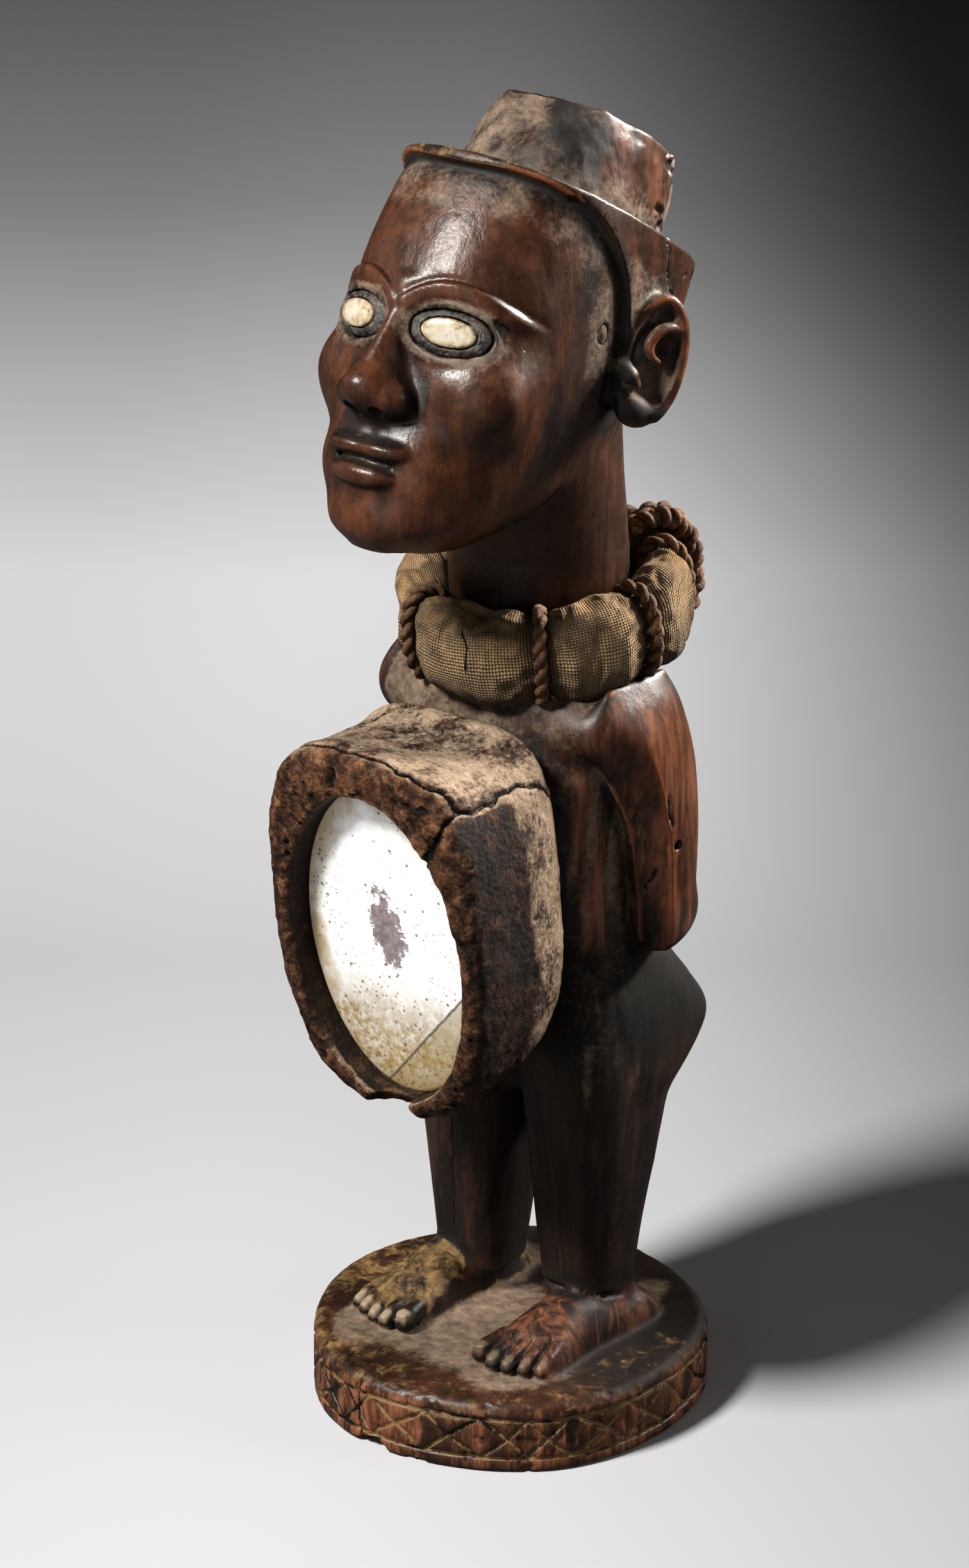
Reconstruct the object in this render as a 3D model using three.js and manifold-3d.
// A carved wooden standing figure from the Lower Congo: a wood figure in a tall cap on a round base, a resin
// pack with an oval mirror on its belly, inlaid glass eyes, and a stuffed cloth collar bound with twisted cord.
// Millimetres, +Z up, the figure faces -Y, and the origin is the middle of the base's underside.
import * as THREE from "three";
import { mergeVertices } from "three/addons/utils/BufferGeometryUtils.js";
import Module from "manifold-3d";

const wasm = await Module();
wasm.setup();

// Driving dimensions
const GAP = 0.3;
const BASE_RADIUS = 61;
const BASE_HEIGHT = 22;
const BAND_LINES = [4.5, 17];
const BAND_CELLS = 24;
const BAND_CLEAR = 1.5;
const GROOVE = 0.9;
const FOOT_X = 25;
const LEG_X = 20.5;
const ARM_X = 38.5;
const HEAD_ORIGIN = [0, 0, 322];
const HEAD_TILT = 20;
const CAP_ORIGIN = [0, 10, 362.9];
const CAP_TILT = 31.3;
const CAP_PROUD = 1.8;
const CAP_EDGE = { radius: 51, y: -46.7, z: 336 };
const CAP_NAPE = -8;
const BROW = { x: 16.5, z: -7, radius: 18.5, width: 3.4, from: 38, to: 146, proud: 1.3 };
const EYE_PLACE = [15.5, -46.5, 0];
const EYE_TURN = 19;
const ORBIT_HALF = [14, 5.5, 9];
const EYE_HALF = [11.8, 3.4, 6.6];
const PANE_HALF = [8, 3.9];
const PANE_THICK = 2;
const PANE_BACK = -0.8;
const EAR_PLACE = [39.5, 11, 4.5];
const EAR_TURN = 20;
const PACK_ORIGIN = [2, -54, 160];
const PACK_LEAN = 7;
const PACK_LIP = 9;
const MIRROR_HALF = [31.5, 48];
const MIRROR_THICK = 2.5;
const COLLAR_ORIGIN = [0, 15, 243];
const COLLAR_TILT = 9;
const COLLAR_RADIUS = 35;
const COLLAR_HALF = [8.8, 15];
const COLLAR_PINCH = 3.6;
const COLLAR_SIDES = 52;
const CORD_RADIUS = 1.8;
const TIES = { front_left: 38, left: 87, front_right: -28, right: -95, back: 138 };
const KNOT_ANGLE = 152;
const KNOT_RADIUS = 3.9;
const KNOT_ARC = [2.1, -0.7];

const WOOD = new THREE.MeshStandardMaterial({ color: 0x3a1c12, roughness: 0.38, metalness: 0 });
const RESIN = new THREE.MeshStandardMaterial({ color: 0x4a3122, roughness: 0.8, metalness: 0 });
const MIRROR_GLASS = new THREE.MeshStandardMaterial({ color: 0xe6e4da, roughness: 0.12, metalness: 0.6 });
const EYE_GLASS = new THREE.MeshStandardMaterial({ color: 0xc9b98c, roughness: 0.2, metalness: 0 });
const EYE_RESIN = new THREE.MeshStandardMaterial({ color: 0x17120f, roughness: 0.55, metalness: 0 });
const CLOTH = new THREE.MeshStandardMaterial({ color: 0x5c4c34, roughness: 0.95, metalness: 0 });
const CORD = new THREE.MeshStandardMaterial({ color: 0x5a3826, roughness: 0.8, metalness: 0 });

// A closed geometry as a solid that can be joined and cut
function solid(geometry) {
  const bare = geometry.clone();
  bare.deleteAttribute("normal");
  bare.deleteAttribute("uv");
  const merged = mergeVertices(bare, 1e-4);
  return new wasm.Manifold(
    new wasm.Mesh({
      numProp: 3,
      vertProperties: merged.attributes.position.array,
      triVerts: new Uint32Array(merged.index.array),
    }),
  );
}

// A solid as a named mesh
function part(name, body, material) {
  const { numProp, vertProperties, triVerts } = body.getMesh();
  const corners = new Float32Array((vertProperties.length / numProp) * 3);
  for (let i = 0; i < corners.length / 3; i++) {
    corners.set(vertProperties.subarray(i * numProp, i * numProp + 3), i * 3);
  }
  const geometry = new THREE.BufferGeometry();
  geometry.setAttribute("position", new THREE.BufferAttribute(corners, 3));
  geometry.setIndex(new THREE.BufferAttribute(triVerts, 1));
  geometry.computeVertexNormals();
  const mesh = new THREE.Mesh(geometry, material);
  mesh.name = name;
  return mesh;
}

const radians = THREE.MathUtils.degToRad;
const joined = (bodies) => bodies.reduce((whole, body) => whole.add(body));

// Signed power, the building step of a rounded rectangle's outline
const bent = (value, power) => Math.sign(value) * Math.abs(value) ** power;

// A body through level sections. A station is [height, half width, front, widest, back, front corner, back corner]:
// front, widest and back are places along Y, and a corner is 2 for an ellipse and more for a squarer outline.
function loft(stations, { sides = 24, steps = 1, grow = 0 } = {}) {
  const heights = stations.map((station) => station[0]);
  const values = stations.flatMap((station) => station.slice(1));
  const spline = new THREE.CubicInterpolant(heights, values, 6);
  const spans = stations.length - 1;
  const geometry = new THREE.CylinderGeometry(1, 1, 1, sides, spans * steps).rotateX(Math.PI / 2);
  const { position } = geometry.attributes;
  for (let i = 0; i < position.count; i++) {
    const along = (position.getZ(i) + 0.5) * spans;
    const span = Math.min(Math.floor(along + 1e-6), spans - 1);
    const height = THREE.MathUtils.lerp(heights[span], heights[span + 1], along - span);
    const [halfWidth, front, widest, back, frontCorner, backCorner] = spline.evaluate(height);
    const x = position.getX(i);
    const y = position.getY(i);
    const reach = Math.hypot(x, y);
    const power = 2 / (y < 0 ? frontCorner : backCorner);
    const depth = y < 0 ? widest - front : back - widest;
    const across = reach > 0 ? bent(x / reach, power) * reach : 0;
    const deep = reach > 0 ? bent(y / reach, power) * reach : 0;
    const end = along < 1e-6 ? -grow : along > spans - 1e-6 ? grow : 0;
    position.setXYZ(i, across * (halfWidth + grow), widest + deep * (depth + grow), height + end);
  }
  return geometry;
}

// A ball stretched to half sizes and set in place
function ball([x, y, z], [a, b, c], sides = 10, rings = 6) {
  return new THREE.SphereGeometry(1, sides, rings).rotateX(Math.PI / 2).scale(a, b, c).translate(x, y, z);
}

// An oval plug with its axis along Y, from one depth to another
function oval([a, c], from, to, sides = 20) {
  return new THREE.CylinderGeometry(1, 1, 1, sides).scale(a, to - from, c).translate(0, (from + to) / 2, 0);
}

// The same form on both sides of the middle plane
function pair(body) {
  return body.add(body.mirror([1, 0, 0]));
}

function frame([x, y, z], { tilt = 0, turn = 0 }) {
  return new THREE.Matrix4()
    .makeTranslation(x, y, z)
    .multiply(new THREE.Matrix4().makeRotationX(-radians(tilt)))
    .multiply(new THREE.Matrix4().makeRotationZ(radians(turn)));
}
const headFrame = frame(HEAD_ORIGIN, { tilt: HEAD_TILT });
const eyeFrame = headFrame.clone().multiply(frame(EYE_PLACE, { turn: EYE_TURN }));
const earFrame = headFrame.clone().multiply(frame(EAR_PLACE, { turn: -EAR_TURN }));
const capFrame = frame(CAP_ORIGIN, { tilt: CAP_TILT });
const packFrame = frame(PACK_ORIGIN, { tilt: -PACK_LEAN });
const collarFrame = frame(COLLAR_ORIGIN, { tilt: -COLLAR_TILT });

// A round base with a rounded edge and an incised band of crossed diagonals between two lines
function base() {
  const profile = [
    [0, 0],
    [BASE_RADIUS - 2, 0],
    [BASE_RADIUS, 2],
    ...BAND_LINES.flatMap((z) => [
      [BASE_RADIUS, z - GROOVE / 2],
      [BASE_RADIUS - GROOVE, z],
      [BASE_RADIUS, z + GROOVE / 2],
    ]),
    [BASE_RADIUS - 0.5, BASE_HEIGHT - 1.5],
    [BASE_RADIUS - 2.5, BASE_HEIGHT],
    [0, BASE_HEIGHT],
  ].map(([r, z]) => new THREE.Vector2(r, z));
  const disc = solid(new THREE.LatheGeometry(profile, BAND_CELLS).rotateX(Math.PI / 2));
  const [low, high] = BAND_LINES;
  const flat = BASE_RADIUS * Math.cos(Math.PI / BAND_CELLS);
  const cell = (2 * Math.PI * BASE_RADIUS) / BAND_CELLS;
  const slope = Math.atan2(cell, high - low);
  const long = Math.hypot(cell, high - low) - 2 * BAND_CLEAR;
  const cutter = new THREE.CylinderGeometry(GROOVE, GROOVE, long, 3, 1).rotateX(Math.PI / 2);
  const cuts = [];
  for (let i = 0; i < BAND_CELLS; i++) {
    for (const lean of [slope, -slope]) {
      const cut = cutter.clone().rotateY(lean).translate(0, -flat, (low + high) / 2);
      cuts.push(solid(cut.rotateZ(((i + 0.5) * 2 * Math.PI) / BAND_CELLS)));
    }
  }
  return disc.subtract(joined(cuts));
}

// Feet run along Y: the stations go from the heel at the back to the toes at the front
const FOOT = [
  [-31, 9, -6, 0, 4, 2.4, 2.4],
  [-24, 12, -6, 0, 9, 2.4, 2.4],
  [-10, 12, -6, 0, 13, 2.2, 2.2],
  [4, 11.5, -6, 0, 15, 2.2, 2.2],
  [18, 12.5, -6, 0, 10.5, 2.4, 2.4],
  [28, 13.5, -6, 0, 7, 2.6, 2.6],
  [33, 13, -6, 0, 4, 2.6, 2.6],
];
const TOES = [
  { x: -10.2, reach: -33.5, half: 3.4 },
  { x: -4.4, reach: -34.5, half: 2.6 },
  { x: 0.6, reach: -33.8, half: 2.5 },
  { x: 5.6, reach: -32.2, half: 2.4 },
  { x: 10.4, reach: -30, half: 2.3 },
];

function feet() {
  const foot = loft(FOOT, { sides: 12 }).rotateX(Math.PI / 2).translate(FOOT_X, 0, BASE_HEIGHT);
  const toes = TOES.map(({ x, reach, half }) => {
    return solid(ball([FOOT_X + x, reach + 1, BASE_HEIGHT + half - 0.4], [half, 6.5, half], 6, 4));
  });
  const ankle = solid(loft(ANKLE, { sides: 12 }).translate(LEG_X + 1, 0, 0));
  return pair(joined([solid(foot), ankle, ...toes]));
}

const LEG = [
  [30, 11.5, 0, 12, 25, 2.8, 2.8],
  [50, 13.2, -2, 12, 28, 2.8, 2.8],
  [72, 15.6, -4, 13, 32, 2.8, 2.8],
  [92, 17.4, -6, 14, 37, 2.8, 2.8],
  [112, 18.4, -9, 15, 42, 2.8, 2.8],
  [131, 18, -12, 15, 40, 2.8, 2.8],
];
const ANKLE = [
  [21, 9, 3, 12, 22, 2, 2],
  [34, 9, 3, 12, 22, 2, 2],
];

const TORSO = [
  [93, 36, 4, 18, 39, 2.8, 3],
  [101, 39, 2, 21, 45, 2.8, 3.4],
  [114, 39.8, -4, 25, 57, 2.8, 3.6],
  [127, 38.8, -13, 22, 51, 2.8, 3.2],
  [136, 37, -17, 17, 45, 2.8, 2.8],
  [150, 35, -19, 12, 38, 2.8, 2.5],
  [168, 34.5, -21, 8, 35, 2.8, 2.8],
  [190, 35.5, -23, 7, 34, 2.8, 2.8],
  [210, 38, -21, 8, 34, 2.6, 2.6],
  [224, 38, -18, 9, 34, 2.4, 2.4],
  [234, 29, -14, 11, 33, 2.2, 2.2],
];
const NECK = [
  [226, 26, -14, 13, 40, 2, 2],
  [245, 25.8, -12.6, 13, 38.6, 2, 2],
  [264, 26, -14, 12, 38.5, 2, 2],
  [284, 26, -20, 8, 37, 2, 2],
  [304, 26, -26, 4, 37, 2, 2],
];
const ARM = [
  [145, 4.5, 15, 20, 27, 2, 2],
  [150, 8.5, 12, 19, 33, 1.5, 1.6],
  [165, 9.5, 10, 18, 34, 1.4, 1.6],
  [185, 10, 6, 16, 34.5, 1.4, 1.6],
  [200, 10, -2, 14, 33, 1.5, 1.7],
  [212, 9.5, -9, 13, 30, 1.7, 1.8],
  [222, 6.5, -9, 13, 27, 2, 2],
  [230, 1.5, -3, 12, 22, 2, 2],
];

// The trunk, neck, arms and legs; a little grown, they cut what lies against them and leave it a gap
function body(grow = 0) {
  const torso = solid(loft(TORSO, { sides: 24, grow }));
  const neck = solid(loft(NECK, { sides: 20, grow }));
  const arm = solid(loft(ARM, { sides: 14, grow }).translate(ARM_X, 0, 0));
  const leg = solid(loft(LEG, { sides: 16, grow }).translate(LEG_X, 0, 0));
  return joined([torso, neck, pair(arm.add(leg))]);
}

// Head stations stand square to the head's own tilted axis
const HEAD = [
  [-61, 10, -43, -34, -22, 2.2, 2.2],
  [-57, 17, -47.5, -33, -12, 2.2, 2.2],
  [-46, 25, -50, -26, 6, 2.2, 2.3],
  [-28, 31, -50.5, -18, 24, 2.3, 2.4],
  [-8, 35, -50.5, -10, 36, 2.4, 2.6],
  [10, 36, -52, -4, 41, 2.4, 2.8],
  [28, 36.5, -48, 0, 43, 2.3, 2.9],
  [44, 36, -42, 2, 43, 2.2, 3],
  [60, 35, -37, 2, 42, 2.2, 3],
];
const NOSE = [
  [-27, 6, -55, -50, -42, 2.2, 2.2],
  [-24, 11, -60, -51, -42, 2.2, 2.2],
  [-19, 9.5, -64, -51, -42, 2, 2],
  [-10, 5.2, -60, -50, -42, 2, 2],
  [3, 4, -54.5, -48, -42, 2, 2],
  [13, 6, -53, -48, -42, 2, 2],
];
const TOWER = [
  [-3, 27, -20, 10, 41.5, 3, 3],
  [8, 26, -18, 10, 40.5, 2.8, 2.8],
  [18, 25, -15.5, 11, 39, 2.8, 2.8],
  [26, 23.5, -12, 12, 36.5, 2.6, 2.6],
];

function ear() {
  const shell = solid(ball([0, 0, 0], [4.2, 11, 19], 12, 6));
  const bowl = solid(ball([4, 0.5, 1.5], [5, 7.4, 13.5], 8, 5));
  const curl = solid(ball([0.5, 3, 6], [2.6, 2.6, 6], 6, 4));
  const flap = solid(ball([0.5, -8.5, -4.5], [3, 3, 3.6], 6, 4));
  return joined([shell.subtract(bowl), curl, flap]).transform(earFrame.elements);
}

function face() {
  const lips = [
    solid(ball([0, -49.5, -35.6], [12.5, 5.4, 3], 10, 6)),
    solid(ball([0, -49, -41.2], [11.5, 5.6, 3.2], 10, 6)),
  ];
  return joined([solid(loft(NOSE, { sides: 10 })), ...lips, pair(brow())]).transform(headFrame.elements);
}

// A raised arched band that follows the forehead
function brow() {
  const { x, z, radius, width, from, to, proud } = BROW;
  const band = new THREE.Shape();
  band.absarc(x, z, radius + width / 2, radians(from), radians(to), false);
  band.absarc(x, z, radius - width / 2, radians(to), radians(from), true);
  const slab = new THREE.ExtrudeGeometry(band, { depth: 100, bevelEnabled: false, curveSegments: 6 });
  const skin = loft(HEAD, { grow: proud });
  return solid(slab.rotateX(Math.PI / 2)).intersect(solid(skin));
}

function head() {
  const above = solid(new THREE.BoxGeometry(200, 200, 100).translate(0, 0, 50).applyMatrix4(capFrame));
  const below = solid(new THREE.BoxGeometry(200, 300, 100).translate(0, 0, CAP_NAPE - 50).applyMatrix4(headFrame));
  const hairline = solid(
    new THREE.CylinderGeometry(CAP_EDGE.radius, CAP_EDGE.radius, 200, 24)
      .rotateZ(Math.PI / 2)
      .translate(0, CAP_EDGE.y, CAP_EDGE.z),
  );
  const skull = solid(loft(HEAD, { sides: 24 }).applyMatrix4(headFrame));
  const cap = solid(loft(HEAD, { grow: CAP_PROUD }).applyMatrix4(headFrame));
  const tower = solid(loft(TOWER, { sides: 16 }).applyMatrix4(capFrame));
  const orbit = solid(ball([0, -6, 0], ORBIT_HALF, 10, 6).applyMatrix4(eyeFrame));
  const seat = solid(ball([0, 0, 0], EYE_HALF.map((half) => half + GAP), 14, 6).applyMatrix4(eyeFrame));
  return joined([skull.subtract(above), cap.subtract(hairline).subtract(above).subtract(below), tower, face()])
    .add(pair(ear()))
    .subtract(pair(orbit.add(seat)));
}

function eyeResin() {
  const bed = solid(ball([0, 0, 0], EYE_HALF, 14, 6).applyMatrix4(eyeFrame));
  const pane = solid(oval([PANE_HALF[0] + GAP, PANE_HALF[1] + GAP], -30, PANE_BACK + GAP, 12).applyMatrix4(eyeFrame));
  return bed.subtract(pane);
}

function eyeGlass() {
  return solid(oval(PANE_HALF, PANE_BACK - PANE_THICK, PANE_BACK, 12).applyMatrix4(eyeFrame));
}

// The pack runs along Y: the stations go from its back on the belly to the lip around the mirror. Half width,
// bottom, middle, top and corner are measured in the mirror's own leaning frame.
const PACK = [
  [-43, 26, -38, 7, 50, 2.4, 3],
  [-34, 34, -44, 7, 57, 2.8, 4.5],
  [-26, 37, -48, 7, 55, 2.8, 4.5],
  [-8, 38.5, -51, 7, 57.5, 2.7, 3.8],
  [2, 38.8, -52, 7, 60.5, 2.6, 3.4],
  [7, 37.8, -51.5, 7, 60, 2.6, 3.2],
  [PACK_LIP, 35.8, -50, 7, 58.5, 2.6, 3],
];

function resinPack() {
  const drum = solid(loft(PACK, { sides: 28 }).rotateX(Math.PI / 2).applyMatrix4(packFrame));
  const recess = solid(
    oval([MIRROR_HALF[0] + GAP, MIRROR_HALF[1] + GAP], -30, MIRROR_THICK + GAP, 32).applyMatrix4(packFrame),
  );
  return drum.subtract(recess).subtract(body(GAP));
}

function mirror() {
  return solid(oval(MIRROR_HALF, 0, MIRROR_THICK, 32).applyMatrix4(packFrame));
}

// How strongly the collar is pinched at an angle, from 0 between the ties to 1 under one
function pinch(angle) {
  const nearest = Math.min(...Object.values(TIES).map((tie) => Math.abs(((angle - tie + 540) % 360) - 180)));
  return Math.exp(-((nearest / 9) ** 2));
}

// A point on the collar: angle runs from the front towards the figure's left, around is the place on the section
function collarPoint(angle, around, grow) {
  const tight = pinch(angle) * COLLAR_PINCH;
  const [half, tall] = COLLAR_HALF;
  const out = COLLAR_RADIUS + bent(Math.cos(around), 0.9) * (half - tight + grow);
  const up = bent(Math.sin(around), 0.9) * (tall - tight + grow);
  return new THREE.Vector3(out * Math.sin(radians(angle)), -out * Math.cos(radians(angle)), up);
}

function collar() {
  const geometry = new THREE.TorusGeometry(1, 0.5, 8, COLLAR_SIDES);
  const { position } = geometry.attributes;
  const point = new THREE.Vector3();
  for (let i = 0; i < position.count; i++) {
    point.fromBufferAttribute(position, i);
    const angle = THREE.MathUtils.radToDeg(Math.atan2(point.y, point.x));
    const tied = Object.values(TIES).find((tie) => Math.abs(tie - angle) < 180 / COLLAR_SIDES);
    const around = Math.atan2(point.z, Math.hypot(point.x, point.y) - 1);
    const { x, y, z } = collarPoint(tied ?? angle, around, 0);
    position.setXYZ(i, x, y, z);
  }
  return solid(geometry.applyMatrix4(collarFrame)).subtract(body(GAP));
}

// A cord drawn round the collar's section, flattened where it is pressed against the neck and shoulders
function tie(angle) {
  const geometry = new THREE.TorusGeometry(1, 0.5, 5, 16);
  const { position } = geometry.attributes;
  const ring = new THREE.Vector3(Math.cos(radians(angle)), Math.sin(radians(angle)), 0);
  const point = new THREE.Vector3();
  for (let i = 0; i < position.count; i++) {
    point.fromBufferAttribute(position, i);
    const around = Math.atan2(point.y, point.x);
    const wrap = Math.atan2(point.z, Math.hypot(point.x, point.y) - 1);
    const centre = collarPoint(angle, around, GAP + CORD_RADIUS);
    const along = collarPoint(angle, around + 0.01, GAP + CORD_RADIUS).sub(centre).normalize();
    const out = along.clone().cross(ring);
    centre.addScaledVector(out, Math.cos(wrap) * CORD_RADIUS).addScaledVector(ring, Math.sin(wrap) * CORD_RADIUS);
    position.setXYZ(i, centre.x, centre.y, centre.z);
  }
  return solid(geometry.applyMatrix4(collarFrame)).subtract(body(GAP));
}

// The thick plaited end of the cord, bent over the top of the collar and down its back
function knot() {
  const [inner, outer] = KNOT_ARC;
  const route = [0, 0.2, 0.4, 0.6, 0.8, 1].map((t) => {
    return collarPoint(KNOT_ANGLE, THREE.MathUtils.lerp(inner, outer, t), GAP + KNOT_RADIUS);
  });
  const section = new THREE.Shape().absellipse(0, 0, KNOT_RADIUS, KNOT_RADIUS, 0, 2 * Math.PI);
  const extrudePath = new THREE.CatmullRomCurve3(route);
  const rope = new THREE.ExtrudeGeometry(section, { extrudePath, steps: 12, curveSegments: 5 });
  return solid(rope.applyMatrix4(collarFrame));
}

const figure = new THREE.Group();
figure.name = "yombe_power_figure";
figure.add(part("carved_figure", joined([base(), feet(), body(), head()]), WOOD));
figure.add(part("resin_pack", resinPack(), RESIN));
figure.add(part("mirror", mirror(), MIRROR_GLASS));
const resin = eyeResin();
const glass = eyeGlass();
figure.add(part("left_eye_resin", resin, EYE_RESIN));
figure.add(part("right_eye_resin", resin.mirror([1, 0, 0]), EYE_RESIN));
figure.add(part("left_eye_glass", glass, EYE_GLASS));
figure.add(part("right_eye_glass", glass.mirror([1, 0, 0]), EYE_GLASS));
figure.add(part("cloth_collar", collar(), CLOTH));
for (const [place, angle] of Object.entries(TIES)) figure.add(part("cord_tie_" + place, tie(angle), CORD));
figure.add(part("cord_knot", knot(), CORD));

export default figure;
